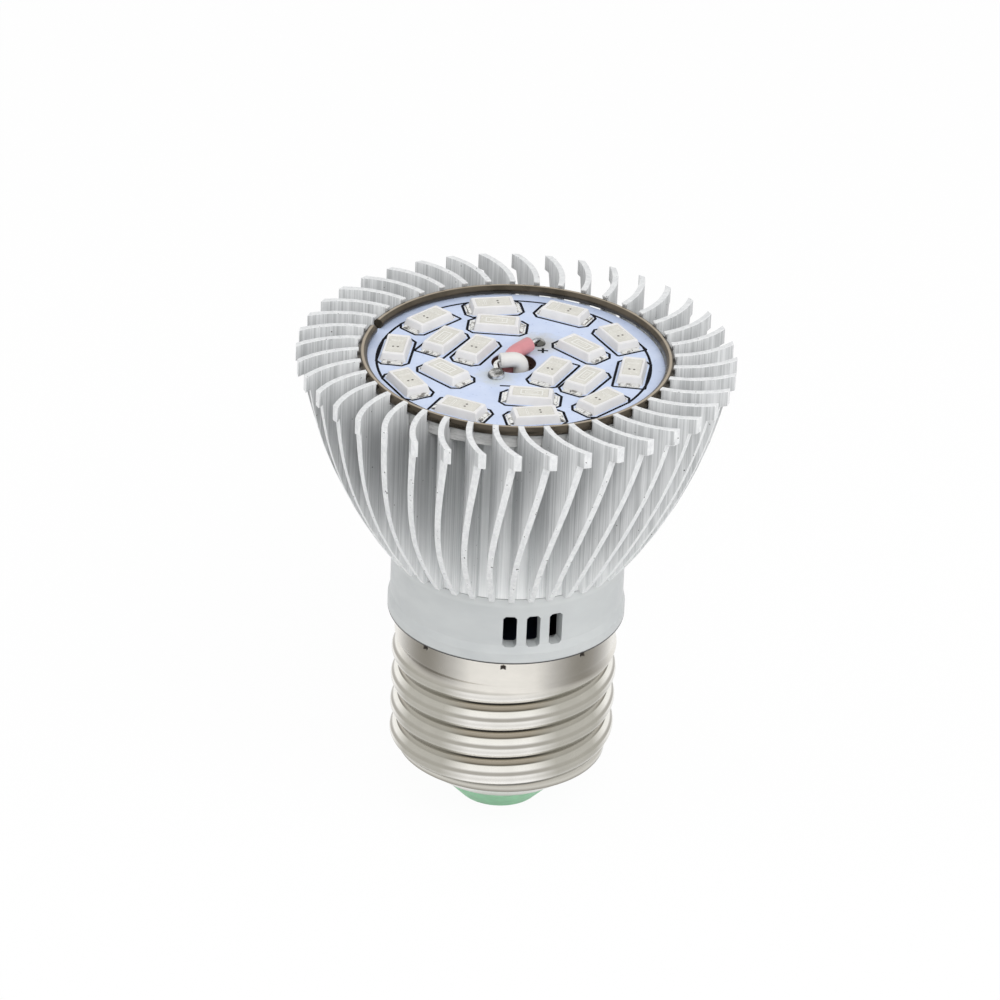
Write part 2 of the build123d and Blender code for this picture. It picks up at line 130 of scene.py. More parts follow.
class Recipe:
    """A material that is built up node by node, in object coordinates."""

    def __init__(self, name, colour, roughness, metallic=0.0):
        self.material = bpy.data.materials.new(name)
        self.material.use_nodes = True
        self.tree = self.material.node_tree
        self.shader = self.tree.nodes["Principled BSDF"]
        self.shader.inputs["Base Color"].default_value = (*colour, 1)
        self.shader.inputs["Roughness"].default_value = roughness
        self.shader.inputs["Metallic"].default_value = metallic
        self.place = self.tree.nodes.new("ShaderNodeTexCoord").outputs["Object"]
        self.material.diffuse_color = (*colour, 1)

    def link(self, source, target):
        self.tree.links.new(source, target)

    def stretch(self, scale):
        """Object place in millimetres, stretched along the axes."""
        node = self.tree.nodes.new("ShaderNodeMapping")
        node.inputs["Scale"].default_value = [UNITS_PER_METRE * s for s in scale]
        self.link(self.place, node.inputs["Vector"])
        return node.outputs["Vector"]

    def noise(self, scale, detail=4.0, roughness=0.55):
        """Noise with features about 1/scale millimetres long, with one scale or one for each axis."""
        if isinstance(scale, (int, float)):
            scale = (scale, scale, scale)
        node = self.tree.nodes.new("ShaderNodeTexNoise")
        node.inputs["Scale"].default_value = 1.0
        node.inputs["Detail"].default_value = detail
        node.inputs["Roughness"].default_value = roughness
        self.link(self.stretch(scale), node.inputs["Vector"])
        return node.outputs["Fac"]

    def span(self, value, low, high, to_low=0.0, to_high=1.0):
        """Value moved from one range to another, and held inside it."""
        node = self.tree.nodes.new("ShaderNodeMapRange")
        node.inputs["From Min"].default_value = low
        node.inputs["From Max"].default_value = high
        node.inputs["To Min"].default_value = to_low
        node.inputs["To Max"].default_value = to_high
        self.link(value, node.inputs["Value"])
        return node.outputs["Result"]

    def maths(self, operation, first, second=0.0):
        """Sum done by a node, on numbers or on the outputs of other nodes."""
        node = self.tree.nodes.new("ShaderNodeMath")
        node.operation = operation
        for socket, value in zip(node.inputs, (first, second)):
            if isinstance(value, (int, float)):
                socket.default_value = value
            else:
                self.link(value, socket)
        return node.outputs[0]

    def mix(self, first, second, blend_type):
        """Mix node between two colours, each a tuple or the output of another node."""
        node = self.tree.nodes.new("ShaderNodeMix")
        node.data_type = "RGBA"
        node.blend_type = blend_type
        for index, colour in ((MIX_FIRST, first), (MIX_SECOND, second)):
            if isinstance(colour, tuple):
                node.inputs[index].default_value = (*colour, 1)
            else:
                self.link(colour, node.inputs[index])
        return node

    def blend(self, amount, first, second):
        """Colour that goes from the first to the second with an amount."""
        node = self.mix(first, second, "MIX")
        self.link(amount, node.inputs["Factor"])
        return node.outputs[MIX_RESULT]

    def times(self, first, second):
        """Two colours multiplied."""
        node = self.mix(first, second, "MULTIPLY")
        node.inputs["Factor"].default_value = 1.0
        return node.outputs[MIX_RESULT]

    def ramp(self, value, stops):
        """Colour read from a list of (place, colour) stops."""
        node = self.tree.nodes.new("ShaderNodeValToRGB")
        while len(node.color_ramp.elements) < len(stops):
            node.color_ramp.elements.new(0.5)
        for element, (place, colour) in zip(node.color_ramp.elements, stops):
            element.position = place
            element.color = (*colour, 1)
        self.link(value, node.inputs["Fac"])
        return node.outputs["Color"]

    def axis(self, index):
        """One coordinate of the place, in millimetres."""
        node = self.tree.nodes.new("ShaderNodeSeparateXYZ")
        self.link(self.stretch((1, 1, 1)), node.inputs["Vector"])
        return node.outputs[index]

    def distance(self, x=0.0, y=0.0):
        """Distance in millimetres from an upright line, which is the axis unless a place is given."""
        squares = []
        for index, middle in enumerate((x, y)):
            off = self.maths("SUBTRACT", self.axis(index), middle)
            squares.append(self.maths("MULTIPLY", off, off))
        return self.maths("SQRT", self.maths("ADD", *squares))

    def colour(self, source):
        self.link(source, self.shader.inputs["Base Color"])

    def rough(self, source, low, high, smooth, dull):
        """Roughness that follows a value from one range to another."""
        self.link(self.span(source, low, high, smooth, dull), self.shader.inputs["Roughness"])

    def bump(self, height, strength, depth_mm):
        node = self.tree.nodes.new("ShaderNodeBump")
        node.inputs["Strength"].default_value = strength
        node.inputs["Distance"].default_value = depth_mm * MM
        self.link(height, node.inputs["Height"])
        self.link(node.outputs["Normal"], self.shader.inputs["Normal"])

    def glow_through(self, weight, reach_mm):
        """Light that spreads a little way inside the surface."""
        reach = reach_mm * MM
        self.shader.inputs["Subsurface Weight"].default_value = weight
        self.shader.inputs["Subsurface Radius"].default_value = (reach, reach, reach)


# Materials

def extruded_aluminium():
    """Skin of the extrusion: streaked along the axis, with a painted reflection that makes it pale near the
    core and greyer further out.
    """
    m = Recipe("extruded_aluminium", (0.72, 0.73, 0.735), 0.48, 0.25)
    fine = m.noise((6.5, 6.5, 0.03), 2, 0.5)
    broad = m.noise((1.6, 1.6, 0.02), 2)
    cloud = m.noise((0.22, 0.22, 0.12), 3)
    streak = m.maths("ADD", m.maths("MULTIPLY", fine, 0.55), m.maths("MULTIPLY", broad, 0.45))
    shade = m.maths("ADD", m.maths("MULTIPLY", streak, 0.8), m.maths("MULTIPLY", cloud, 0.2))
    amount = m.span(shade, 0.40, 0.60)
    pale = m.blend(amount, (0.70, 0.715, 0.72), (0.94, 0.95, 0.95))
    grey = m.blend(amount, (0.42, 0.43, 0.435), (0.68, 0.69, 0.695))
    # Painted reflection: pale near the core and greyer further out, by distance from the axis
    streaks_and_painted_reflection = m.blend(m.span(m.distance(), 14.5, 20.0), pale, grey)
    speck = m.span(m.noise(2.2, 1), 0.78, 0.80)
    m.colour(m.blend(speck, streaks_and_painted_reflection, (0.08, 0.08, 0.08)))
    m.rough(fine, 0.3, 0.7, 0.40, 0.56)
    m.bump(streak, 0.35, 0.03)
    return m.material


def cut_aluminium():
    """Turned and sawn edges: pale, faintly torn, with a few dark specks painted as the shadows of burrs."""
    m = Recipe("cut_aluminium", (0.78, 0.79, 0.80), 0.5, 0.25)
    torn = m.noise((2.2, 2.2, 1.2), 4, 0.7)
    burr_shade_specks = m.noise((2.6, 2.6, 2.0), 1)
    pale = m.blend(m.span(torn, 0.35, 0.65), (0.66, 0.67, 0.68), (0.82, 0.83, 0.83))
    # Dark specks of painted shade, standing for the shadows of burrs
    m.colour(m.blend(m.span(burr_shade_specks, 0.735, 0.755), pale, (0.10, 0.10, 0.10)))
    m.rough(torn, 0.35, 0.65, 0.42, 0.6)
    m.bump(torn, 0.3, 0.05)
    return m.material


def ring_wire():
    """Darkened spring wire with draw marks, and a painted highlight in a thin paler line along its top."""
    m = Recipe("darkened_wire", (0.30, 0.25, 0.19), 0.32, 1.0)
    cloud = m.noise((0.3, 0.3, 0.6), 3)
    tone = m.blend(m.span(cloud, 0.35, 0.65), (0.065, 0.055, 0.042), (0.115, 0.097, 0.075))
    # Painted highlight: a thin pale line along the top of the wire
    wear_and_painted_highlight = m.span(m.axis(2), RING_Z + 0.535, RING_Z + 0.56)
    m.colour(m.blend(wear_and_painted_highlight, tone, (0.42, 0.36, 0.28)))
    m.rough(cloud, 0.3, 0.7, 0.22, 0.38)
    m.bump(m.noise((0.6, 0.6, 9), 2), 0.25, 0.03)
    return m.material


# Painted dark reflection for the line in each root of the thread, and painted shade for a line on a flank
ROOT_PAINTED_DARK = (0.008, 0.007, 0.006)
FLANK_PAINTED_SHADE = (0.42, 0.40, 0.36)
# Painted light and shade over one pitch of the thread, with its crest at 0.5: painted highlights by the
# crest, a painted grey line on a flank, and a painted brown band and painted dark lines near each root
THREAD_PAINTED_LIGHT = [
    (0.00, (0.34, 0.30, 0.235)),
    (0.06, (0.48, 0.43, 0.35)),
    (0.12, (0.32, 0.28, 0.21)),
    (0.155, ROOT_PAINTED_DARK),
    (0.255, ROOT_PAINTED_DARK),
    (0.29, (0.98, 0.96, 0.93)),
    (0.38, (0.96, 0.94, 0.90)),
    (0.50, (0.76, 0.74, 0.70)),
    (0.59, (0.92, 0.90, 0.86)),
    (0.635, FLANK_PAINTED_SHADE),
    (0.69, FLANK_PAINTED_SHADE),
    (0.74, (0.92, 0.90, 0.85)),
    (0.865, (0.88, 0.86, 0.79)),
    (0.90, (0.10, 0.09, 0.065)),
    (0.935, (0.24, 0.21, 0.165)),
    (0.99, (0.40, 0.36, 0.29)),
]
# Tones of the plain metal, from the foot of the shell at 0 to the seam at 1: darker towards the foot, a dark
# line at the shoulder above the cone, and a painted shadow line under the seam
PLAIN_TONES_AND_SEAM_SHADOW = [
    (0.0, (0.34, 0.32, 0.27)),
    (0.10, (0.62, 0.60, 0.55)),
    (0.125, (0.20, 0.18, 0.15)),
    (0.15, (0.70, 0.68, 0.62)),
    (0.75, (0.62, 0.59, 0.52)),
    (0.79, (0.86, 0.83, 0.77)),
    (0.974, (0.84, 0.81, 0.75)),
    (0.978, (0.01, 0.01, 0.01)),
]
# Painted reflections round the collar, from the middle of a bright side at 0 to that of a dark one at 1
SIDE_PAINTED_REFLECTIONS = [
    (0.0, (1.0, 1.0, 1.0)),
    (0.30, (0.94, 0.94, 0.94)),
    (0.62, (0.62, 0.62, 0.62)),
    (1.0, (0.30, 0.29, 0.27)),
]
# Number of painted bright sides round the shell
PAINTED_BRIGHT_SIDES = 4
# Puts the crest in the middle of the list of tones, and keeps the value above zero
PHASE_SHIFT = 20.5


def plated_shell():
    """Rolled cap metal with painted reflections: painted highlights on the crests, a painted brown band and a
    painted dark line down in each root, painted bright and dark sides round it, painted shade in the pricks
    and a painted shadow line under the seam.
    """
    m = Recipe("plated_shell", (0.76, 0.74, 0.69), 0.2, 1.0)
    angle = m.maths("ADD", m.maths("ARCTAN2", m.axis(1), m.axis(0)), pi / 2)
    turn = m.maths("MULTIPLY", angle, 1 / (2 * pi))
    rise = m.maths("SUBTRACT", m.axis(2), THREAD_BOTTOM + CREST_RISE)
    climb = m.maths("MULTIPLY", rise, 1 / THREAD_PITCH)
    phase = m.maths("FRACT", m.maths("ADD", m.maths("SUBTRACT", climb, turn), PHASE_SHIFT))
    # Painted reflections: bright and dark sides round the shell, with the painted thread pattern faded to an
    # even grey on the dark sides
    reflection_sweep = m.maths("COSINE", m.maths("MULTIPLY", turn, 2 * pi * PAINTED_BRIGHT_SIDES))
    reflection_fade = m.maths("MULTIPLY", m.span(reflection_sweep, 0.45, -0.6), 0.85)
    thread = m.blend(reflection_fade, m.ramp(phase, THREAD_PAINTED_LIGHT), (0.40, 0.385, 0.335))
    plain_band = m.ramp(m.span(m.axis(2), SHELL_FOOT, SEAM), PLAIN_TONES_AND_SEAM_SHADOW)
    painted_reflection_around = m.ramp(m.span(reflection_sweep, 1.0, -1.0), SIDE_PAINTED_REFLECTIONS)
    upper = m.span(m.axis(2), THREAD_TOP - 2.0, THREAD_TOP - 1.0)
    shaded = m.times(plain_band, m.blend(upper, (0.92, 0.92, 0.92), painted_reflection_around))
    on_thread = m.maths(
        "MULTIPLY",
        m.span(m.axis(2), THREAD_BOTTOM + 0.4, THREAD_BOTTOM + 1.4),
        m.span(m.axis(2), THREAD_TOP - 1.2, THREAD_TOP - 1.8),
    )
    tone = m.blend(on_thread, shaded, thread)
    # Painted shade in the small pricks under the seam
    beside = m.span(m.maths("COSINE", m.maths("MULTIPLY", turn, 2 * pi * CRIMPS)), 0.972, 0.988)
    off = m.maths("ABSOLUTE", m.maths("SUBTRACT", m.axis(2), PRICK_HEIGHT))
    prick_painted_shade = m.maths("MULTIPLY", beside, m.span(off, 0.30, 0.20))
    tone = m.blend(prick_painted_shade, tone, (0.04, 0.035, 0.03))
    wear = m.noise((0.5, 0.5, 0.9), 4)
    wear_and_painted_highlight = m.blend(m.span(wear, 0.3, 0.7), (0.92, 0.92, 0.92), (1.0, 1.0, 1.0))
    m.colour(m.times(tone, wear_and_painted_highlight))
    m.rough(wear, 0.3, 0.7, 0.14, 0.28)
    m.bump(m.noise((0.35, 0.35, 5), 3), 0.12, 0.02)
    return m.material


# Stains on the board: the joint that they lie round, their reach and their tone
STAINS = ((POSITIVE_JOINT, 2.7, (0.47, 0.46, 0.42)), (NEGATIVE_JOINT, 2.2, (0.55, 0.58, 0.56)))


def board_mask():
    """Pale blue solder mask, stained by the joints, over bare metal with painted shade that makes it dark in
    the hole.
    """
    m = Recipe("solder_mask", (0.61, 0.70, 0.90), 0.32)
    cloud = m.noise(0.5, 4)
    blue = m.blend(m.span(cloud, 0.35, 0.65), (0.54, 0.625, 0.82), (0.60, 0.68, 0.86))
    for (x, y), reach, tone in STAINS:
        ragged = m.maths("ADD", m.distance(x, y), m.maths("MULTIPLY", m.noise(1.1, 4), 2.4))
        blue = m.blend(m.span(ragged, reach + 1.6, reach - 0.2, 0.0, 0.75), blue, tone)
    patches = m.span(m.noise((0.8, 0.8, 3), 4), 0.35, 0.6)
    metal = m.blend(patches, (0.52, 0.52, 0.51), (0.74, 0.74, 0.73))
    # Painted shade: the bare metal goes dark in the hole near the axis
    wall = m.blend(m.span(m.distance(), 4.0, 6.0), (0.07, 0.04, 0.03), metal)
    m.colour(m.blend(m.span(m.axis(2), BOARD_TOP - 0.14, BOARD_TOP - 0.08), wall, blue))
    m.rough(m.noise(2.0, 3), 0.3, 0.7, 0.26, 0.40)
    m.bump(m.noise(3.0, 3), 0.12, 0.03)
    return m.material


def package_plastic():
    """White moulded packages, with a slight warm cast and fine grain."""
    m = Recipe("package_plastic", (0.80, 0.79, 0.77), 0.4)
    m.colour(m.blend(m.span(m.noise(0.6, 3), 0.3, 0.7), (0.73, 0.72, 0.715), (0.79, 0.78, 0.775)))
    m.rough(m.noise(6, 2), 0.3, 0.7, 0.34, 0.48)
    m.bump(m.noise(9, 2), 0.15, 0.015)
    m.glow_through(0.1, 0.4)
    return m.material


def window_resin():
    """Cream filling, a little uneven in tone."""
    m = Recipe("window_resin", (0.74, 0.70, 0.61), 0.22)
    m.colour(m.blend(m.span(m.noise(0.9, 3), 0.35, 0.65), (0.615, 0.60, 0.545), (0.68, 0.665, 0.61)))
    m.rough(m.noise(4, 2), 0.3, 0.7, 0.16, 0.30)
    m.bump(m.noise(2.5, 2), 0.1, 0.02)
    return m.material


def tinned_metal():
    """Tinned copper: bright, with dull patches."""
    m = Recipe("tinned_metal", (0.78, 0.78, 0.77), 0.22, 1.0)
    cloud = m.noise(1.6, 3)
    m.colour(m.blend(m.span(cloud, 0.36, 0.46), (0.30, 0.29, 0.27), (0.84, 0.84, 0.82)))
    m.rough(cloud, 0.3, 0.7, 0.30, 0.14)
    m.bump(m.noise(3.5, 3), 0.4, 0.05)
    return m.material


def solder_metal():
    """Solder: mirror bright, with darker patches painted as shade in its dips."""
    m = Recipe("solder_metal", (0.7, 0.7, 0.7), 0.14, 1.0)
    cloud = m.noise(0.75, 3)
    # Darker patches of painted shade, standing for the dips of the solder
    m.colour(m.blend(m.span(cloud, 0.42, 0.58), (0.12, 0.12, 0.11), (0.80, 0.80, 0.79)))
    m.rough(cloud, 0.3, 0.7, 0.12, 0.24)
    m.bump(m.noise(1.1, 3), 0.6, 0.12)
    return m.material


def print_ink():
    """Printed black lines, matt and a little uneven."""
    m = Recipe("print_ink", (0.02, 0.02, 0.025), 0.5)
    m.colour(m.blend(m.span(m.noise(5, 3), 0.3, 0.75), (0.004, 0.004, 0.006), (0.012, 0.012, 0.018)))
    m.rough(m.noise(3, 2), 0.3, 0.7, 0.7, 0.9)
    m.shader.inputs["Specular IOR Level"].default_value = 0.1
    return m.material


def neck_plastic():
    """Moulded off-white plastic, paler in a band at its top, with a painted shadow line at the shell."""
    m = Recipe("neck_plastic", (0.51, 0.53, 0.53), 0.38)
    cloud = m.noise((0.15, 0.15, 0.3), 3)
    white = m.blend(m.span(cloud, 0.35, 0.65), (0.48, 0.50, 0.505), (0.53, 0.55, 0.55))
    white = m.blend(m.span(m.axis(2), NECK_BAND, NECK_BAND + 0.35), white, (0.57, 0.59, 0.59))
    # Painted shadow: a near-black line at the foot of the neck, in the gap at the shell
    m.colour(m.blend(m.span(m.axis(2), SEAM + 0.22, SEAM + 0.10), white, (0.02, 0.02, 0.02)))
    m.rough(m.noise(1.5, 3), 0.3, 0.7, 0.32, 0.46)
    m.bump(m.noise(5, 2), 0.12, 0.03)
    m.glow_through(0.08, 0.8)
    return m.material


GRAIN = 3.0


def plain(name, colour, roughness, metallic=0.0, spread=0.12):
    """Surface with a soft change of tone and a fine grain."""
    m = Recipe(name, colour, roughness, metallic)
    dark = tuple(c * (1 - spread) for c in colour)
    light = tuple(min(1.0, c * (1 + spread)) for c in colour)
    m.colour(m.blend(m.span(m.noise(GRAIN / 4, 3), 0.3, 0.7), dark, light))
    m.rough(m.noise(GRAIN, 3), 0.3, 0.7, roughness * 0.85, roughness * 1.15)
    m.bump(m.noise(GRAIN * 2, 2), 0.25, 0.03)
    return m.material


def dress(node, material):
    """Give a solid of the frame a material."""
    mesh = nodes[node].data
    mesh.materials.clear()
    mesh.materials.append(material)


# Mesh helpers

def new_piece(name, bm, materials, stands_for=()):
    """Turn a mesh into a piece that rides on the body."""
    mesh = bpy.data.meshes.new(name)
    bmesh.ops.recalc_face_normals(bm, faces=bm.faces)
    bm.normal_update()
    bm.to_mesh(mesh)
    bm.free()
    for material in materials:
        mesh.materials.append(material)
    piece = bpy.data.objects.new(name, mesh)
    bpy.context.scene.collection.objects.link(piece)
    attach(piece, "root")
    if stands_for:
        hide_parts(*stands_for)
    return piece


def point(x, y, z):
    return Vector((x, y, z)) * MM


def between(low, high, steps):
    """Even steps that follow one value and end at another."""
    return [low + (high - low) * i / steps for i in range(1, steps + 1)]


def wrap(bm, columns, smooth):
    """Faces between upright columns of vertices that stand all the way round the axis."""
    for i, one in enumerate(columns):
        two = columns[(i + 1) % len(columns)]
        for j in range(len(one) - 1):
            bm.faces.new([one[j], two[j], two[j + 1], one[j + 1]]).smooth = smooth


def lathe(bm, outline, sides, smooth=True):
    """Surface turned from an outline of (radius, height) points."""
    columns = []
    for i in range(sides):
        a = 2 * pi * i / sides
        columns.append([bm.verts.new(point(r * cos(a), r * sin(a), z)) for r, z in outline])
    wrap(bm, columns, smooth)


def skin(bm, loops, material=0, smooth=False, ends=True):
    """Faces between loops that follow one another, and on the first and the last."""
    for one, two in zip(loops, loops[1:]):
        for i in range(len(one)):
            j = (i + 1) % len(one)
            face = bm.faces.new([one[i], one[j], two[j], two[i]])
            face.material_index = material
            face.smooth = smooth
    if ends:
        for loop in (loops[0], loops[-1]):
            bm.faces.new(loop).material_index = material


CORNER_STEPS = 3


def rounded_loop(bm, place, half_x, half_y, corner, z, middle_x=0, middle_y=0):
    """Loop of vertices on a rectangle with rounded corners, at one height."""
    loop = []
    for quarter in range(4):
        sx = 1 if quarter in (0, 3) else -1
        sy = 1 if quarter in (0, 1) else -1
        for i in range(CORNER_STEPS + 1):
            a = (quarter + i / CORNER_STEPS) * pi / 2
            x = middle_x + sx * (half_x - corner) + corner * cos(a)
            y = middle_y + sy * (half_y - corner) + corner * sin(a)
            loop.append(bm.verts.new(place @ point(x, y, z)))
    return loop


# Heat sink

RIM_BOTTOM = SINK_TOP - 1.9
RIM_RADIUS = 25.0
BOWL_TOP = 24.25
BOWL_BOTTOM = 14.2
BOWL_BULGE = 1.46
FIN_BEND = 10.6
FIN_STRAIGHT = 16.9
FIN_HALF = 0.34
FIN_COUNT = 40
FIN_START = 2.5
CORE_RADIUS = 13.4
CORE_BORE = 11.2
CORE_SIDES = 160
WEB_HOLE = 3.0
POCKET_RADIUS = 17.6
LIP_RADIUS = 17.9
GROOVE_RADIUS = 18.09
INNER_STEP = 0.34
OUTER_STEPS = 18
# Radii at which a fin has its vertices, with the three of its notch in the middle
FIN_RADII = [CORE_RADIUS - 0.1, BOWL_BOTTOM] + [BOWL_BOTTOM + INNER_STEP * i for i in range(1, 10)]
FIN_RADII = FIN_RADII + [POCKET_RADIUS, LIP_RADIUS, GROOVE_RADIUS]
FIN_RADII = FIN_RADII + between(GROOVE_RADIUS, BOWL_TOP, OUTER_STEPS) + [RIM_RADIUS]
POCKET, LIP, GROOVE = (FIN_RADII.index(r) for r in (POCKET_RADIUS, LIP_RADIUS, GROOVE_RADIUS))
RIM = len(FIN_RADII) - 1
HALVINGS = 40
LARGEST_TURN = 1.3
TORN_DEPTH = 0.09
BURR_HEIGHT = 0.035
CUT_FACE = 1
EDGE_BEVEL = 0.05


def bowl_arc():
    """Place in section, and radius, of the arc that the underside is turned to."""
    run = BOWL_TOP - BOWL_BOTTOM
    rise = RIM_BOTTOM - SINK_BOTTOM
    chord = sqrt(run * run + rise * rise)
    curve = chord * chord / (8 * BOWL_BULGE) + BOWL_BULGE / 2
    reach = curve - BOWL_BULGE
    middle_r = (BOWL_TOP + BOWL_BOTTOM) / 2 - reach * (rise / chord)
    middle_z = (RIM_BOTTOM + SINK_BOTTOM) / 2 - reach * (-run / chord)
    return middle_r, middle_z, curve


ARC_R, ARC_Z, ARC_CURVE = bowl_arc()


def bowl_height(r):
    """Height of the turned underside at a radius."""
    if r <= BOWL_BOTTOM:
        return SINK_BOTTOM
    if r >= BOWL_TOP:
        return RIM_BOTTOM
    return ARC_Z - sqrt(ARC_CURVE * ARC_CURVE - (r - ARC_R) ** 2)


def fin_point(r, offset):
    """Place in plan, before turning, of a fin's face at a radius, found by halving."""
    bend = FIN_BEND - offset
    if r * r <= FIN_STRAIGHT ** 2 + offset ** 2:
        return sqrt(r * r - offset * offset), offset
    low, high = 0.0, LARGEST_TURN
    for _ in range(HALVINGS):
        turn = (low + high) / 2
        x = FIN_STRAIGHT + bend * sin(turn)
        y = FIN_BEND - bend * cos(turn)
        if x * x + y * y < r * r:
            low = turn
        else:
            high = turn
    return FIN_STRAIGHT + bend * sin(low), FIN_BEND - bend * cos(low)


def fin_heights(i, side, seed):
    """Heights of the vertices of one face of a fin at one radius, from the underside up."""
    r = FIN_RADII[i]
    low = bowl_height(r)
    if BOWL_BOTTOM < r < BOWL_TOP:
        low = low + TORN_DEPTH * noise.noise(Vector((r * 1.3, seed * 7.1, side * 3.0)))
    if i < POCKET:
        return [low, POCKET_FLOOR]
    if i == POCKET:
        return [low, POCKET_FLOOR, GROOVE_BOTTOM]
    if i in (LIP, GROOVE):
        return [low, GROOVE_BOTTOM, GROOVE_TOP, SINK_TOP]
    return [low, SINK_TOP + BURR_HEIGHT * noise.noise(Vector((r * 1.7, seed * 3.7, side * 5.0)))]


def fin(bm, angle, seed):
    """One swept fin: two streaked faces, a turned outer edge, a flat top and a notched inner end."""
    across, along = cos(angle), sin(angle)
    sides = []
    for side, offset in enumerate((-FIN_HALF, FIN_HALF)):
        columns = []
        for i, r in enumerate(FIN_RADII):
            x, y = fin_point(r, offset)
            x, y = x * across - y * along, x * along + y * across
            columns.append([bm.verts.new(point(x, y, z)) for z in fin_heights(i, side, seed)])
        sides.append(columns)

    def wall(spots):
        """The same outline on both faces of the fin."""
        for side in (0, 1):
            loop = [sides[side][i][k] for i, k in spots]
            bm.faces.new(loop if side == 0 else loop[::-1]).smooth = True

    def cut(start, end):
        """Edge face between both sides of the fin, from one spot of the outline to another."""
        (i, k), (p, q) = start, end
        loop = [sides[0][i][k], sides[1][i][k], sides[1][p][q], sides[0][p][q]]
        bm.faces.new(loop).material_index = CUT_FACE

    for i in range(POCKET):
        wall([(i, 0), (i + 1, 0), (i + 1, 1), (i, 1)])
        cut((i, 1), (i + 1, 1))
    wall([(POCKET, 0), (LIP, 0), (LIP, 1), (POCKET, 2), (POCKET, 1)])
    wall([(LIP, 0), (GROOVE, 0), (GROOVE, 1), (LIP, 1)])
    wall([(LIP, 2), (GROOVE, 2), (GROOVE, 3), (LIP, 3)])
    for i in range(GROOVE, RIM):
        top = len(sides[0][i]) - 1
        wall([(i, k) for k in range(top, -1, -1)] + [(i + 1, 0), (i + 1, 1)])
        cut((i, top), (i + 1, 1))
    for i in range(RIM):
        cut((i, 0), (i + 1, 0))
    cut((0, 0), (0, 1))
    cut((RIM, 0), (RIM, 1))
    notch = [(POCKET, 1), (POCKET, 2), (LIP, 1), (GROOVE, 1), (GROOVE, 2), (LIP, 2), (LIP, 3), (GROOVE, 3)]
    for start, end in zip(notch, notch[1:]):
        cut(start, end)


def heat_sink():
    """All the fins and the core with its web, with a small bevel on their edges."""
    bm = bmesh.new()
    for i in range(FIN_COUNT):
        fin(bm, radians(FIN_START + i * 360 / FIN_COUNT), i)
    core = [
        (CORE_BORE, WEB_BOTTOM),
        (CORE_BORE, SINK_BOTTOM),
        (CORE_RADIUS, SINK_BOTTOM),
        (CORE_RADIUS, POCKET_FLOOR),
        (WEB_HOLE, POCKET_FLOOR),
        (WEB_HOLE, WEB_BOTTOM),
        (CORE_BORE, WEB_BOTTOM),
    ]
    lathe(bm, core, CORE_SIDES, False)
    bmesh.ops.remove_doubles(bm, verts=bm.verts, dist=0.0001 * MM)
    materials = [extruded_aluminium(), cut_aluminium()]
    piece = new_piece("finned_body", bm, materials, ["heat_sink"])
    bevel = piece.modifiers.new("edges", "BEVEL")
    bevel.width = EDGE_BEVEL * MM
    bevel.segments = 1
    bevel.limit_method = "ANGLE"
    bevel.angle_limit = radians(50)


# Screw cap

CREST_RADIUS = 13.1
THREAD_DEPTH = 0.9
THREAD_FADE = 1.5
COLLAR = 12.85
SHELL_BORE = 11.9
SHELL_RIM = SEAM - 0.16
SHELL_SIDES = 288
CONE_TOP = 6.5
FOOT_RADIUS = 8.7
CONE_RADIUS = 11.5
SHOULDER_RADIUS = 12.2
SHELL_HEIGHTS = [SHELL_FOOT] + between(SHELL_FOOT, CONE_TOP, 6) + between(CONE_TOP, THREAD_BOTTOM, 2)
SHELL_HEIGHTS = SHELL_HEIGHTS + between(THREAD_BOTTOM, THREAD_TOP, 124)
SHELL_HEIGHTS = SHELL_HEIGHTS + between(THREAD_TOP, SHELL_RIM, 24)
# From the rim, down the inside and round the lip that holds the insulator
SHELL_INSIDE = [
    (COLLAR, SHELL_RIM),
    (COLLAR - 0.3, SEAM - 0.1),
    (SHELL_BORE, SEAM - 0.1),
    (SHELL_BORE, 7.2),
    (11.2, 6.7),
    (8.4, 4.7),
    (8.4, 4.35),
    (8.45, 4.25),
    (8.6, 4.22),
    (FOOT_RADIUS, SHELL_FOOT),
]
PRICK_DEPTH = 0.35
PRICK_HALF_WIDTH = 0.42
PRICK_SPREAD = 0.25
PRICK_HALF_HEIGHT = 0.5
PRICK_STEEPNESS = 1.6


def wave_radius(angle, z):
    """Outer radius of the rolled thread, easing out at both ends."""
    phase = (z - THREAD_BOTTOM - CREST_RISE) / THREAD_PITCH - (angle + 90) / 360
    wave = CREST_RADIUS - THREAD_DEPTH / 2 + THREAD_DEPTH / 2 * cos(2 * pi * phase)
    base = CREST_RADIUS - THREAD_DEPTH if z < (THREAD_TOP + THREAD_BOTTOM) / 2 else COLLAR
    reach = min((THREAD_TOP - z) / THREAD_FADE, (z - THREAD_BOTTOM) / THREAD_FADE, 1)
    return base + (wave - base) * reach * reach * (3 - 2 * reach)


def collar_radius(angle, z):
    """Outer radius of the collar, with the small pricks under the seam."""
    r = COLLAR
    up = z - PRICK_HEIGHT
    for i in range(CRIMPS):
        off = (angle - (-90 + i * 360 / CRIMPS) + 180) % 360 - 180
        beside = 1 - abs(radians(off) * COLLAR) / (PRICK_HALF_WIDTH + PRICK_SPREAD * up)
        reach = max(0.0, beside) * max(0.0, 1 - abs(up) / PRICK_HALF_HEIGHT)
        r = r - PRICK_DEPTH * min(1.0, PRICK_STEEPNESS * reach)
    return r


